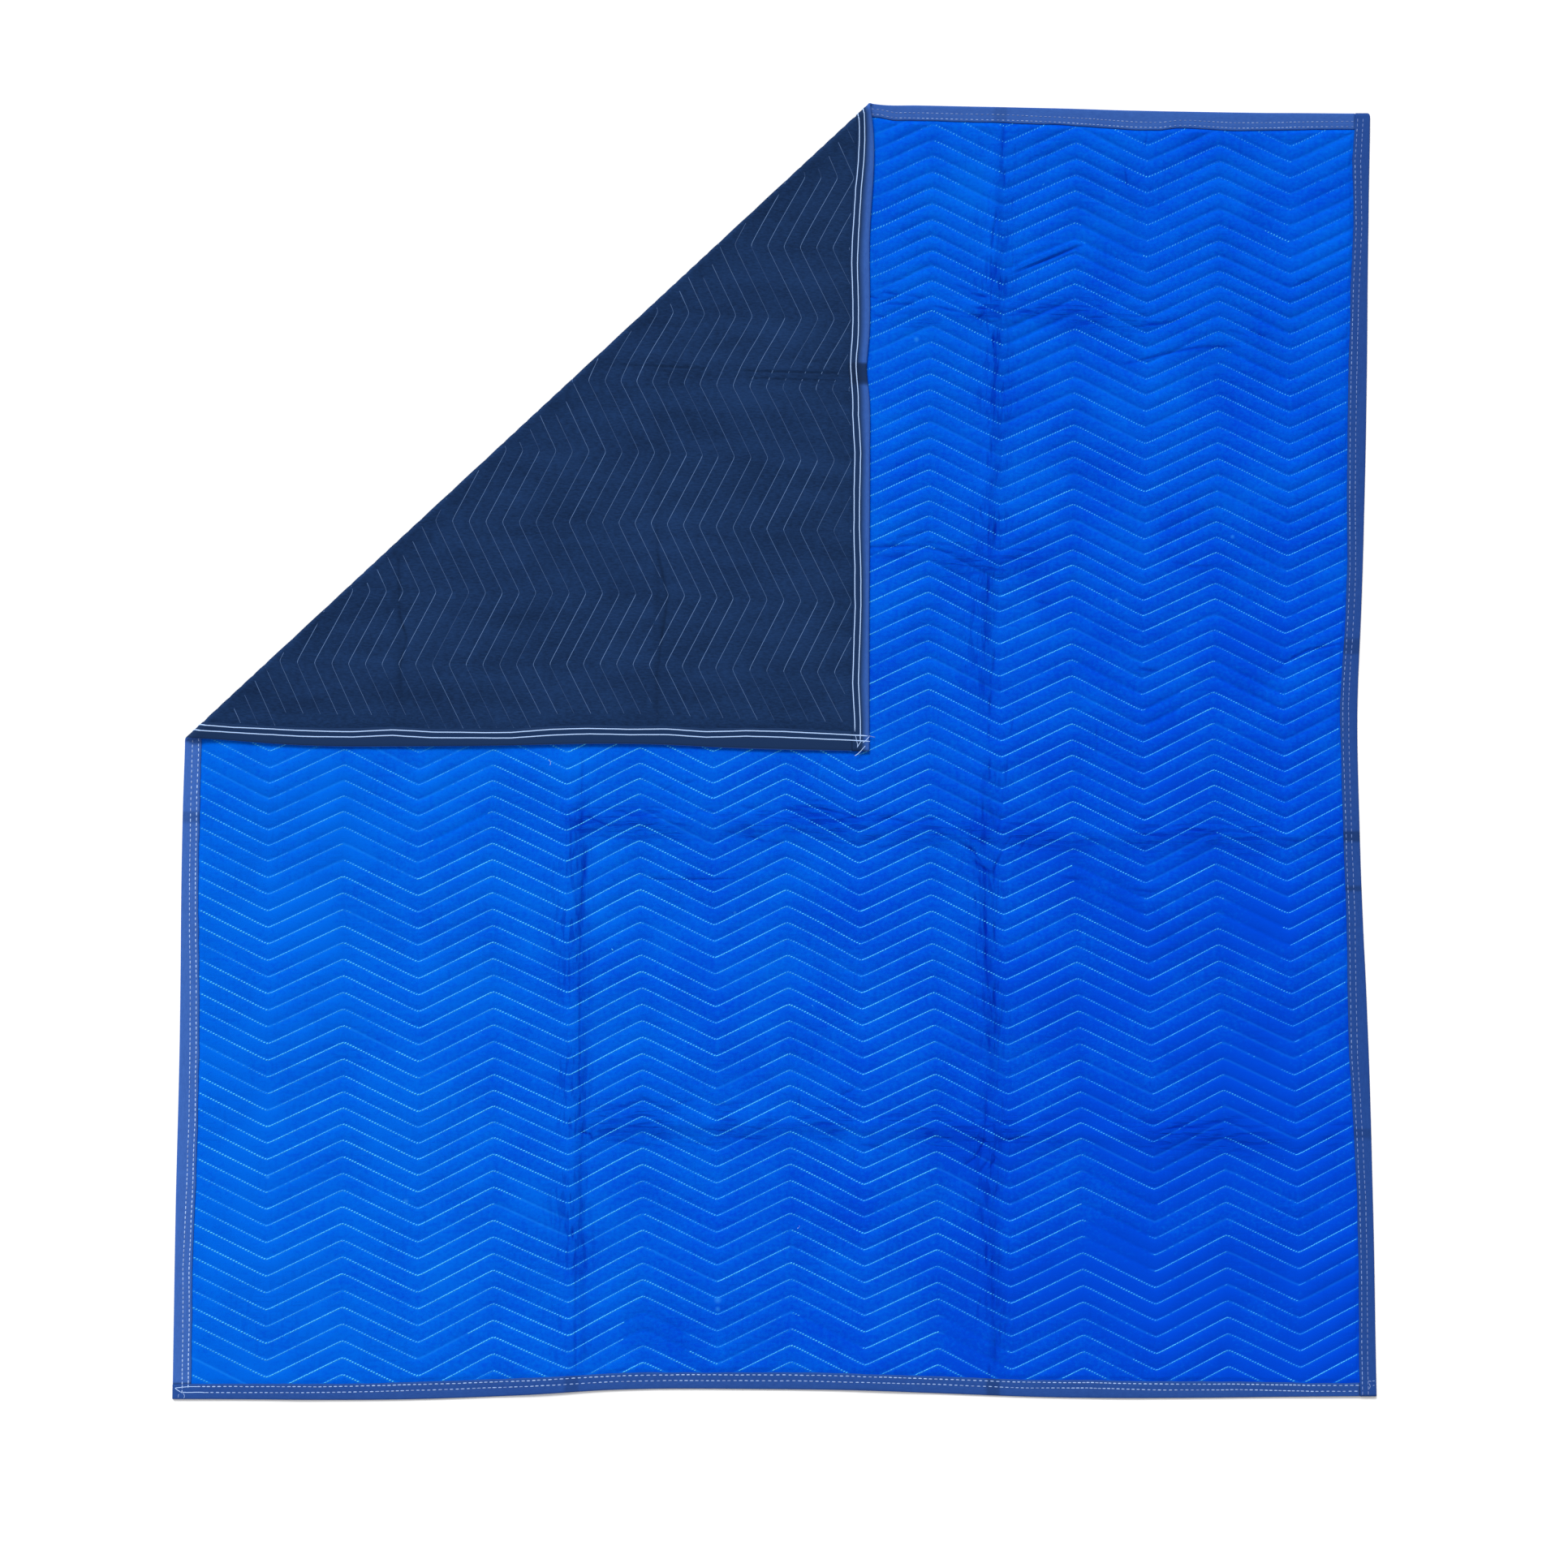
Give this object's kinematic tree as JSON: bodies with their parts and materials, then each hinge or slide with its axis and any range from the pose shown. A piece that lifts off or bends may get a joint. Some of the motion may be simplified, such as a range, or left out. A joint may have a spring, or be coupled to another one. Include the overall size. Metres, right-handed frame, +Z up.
{
  "type": "moving blanket",
  "caption": "Quilted moving blanket with a bound edge, laid flat with one corner turned over to show its darker back.",
  "frame": {"origin": "the middle of the blanket's outline, on its underside", "axes": "+Z up from the surface it lies on, +Y along the blanket's length towards the turned corner's end, +X across its width to the right as seen from above"},
  "size_m": [1.8446, 2.0326, 0.0126],
  "materials": {
    "face_cloth": "soft fuzzy royal-blue cloth, matt",
    "back_cloth": "navy woven cloth, matt",
    "binding_tape": "ribbed woven slate-blue tape, matt",
    "quilting_thread": "fine light-blue thread",
    "binding_thread": "pale thread"
  },
  "bodies": {
    "root": {"face_panel": "face_cloth", "back_panel": "back_cloth", "binding_left": "binding_tape", "binding_right": "binding_tape", "binding_bottom": "binding_tape", "binding_top": "binding_tape"}
  },
  "joints": []
}
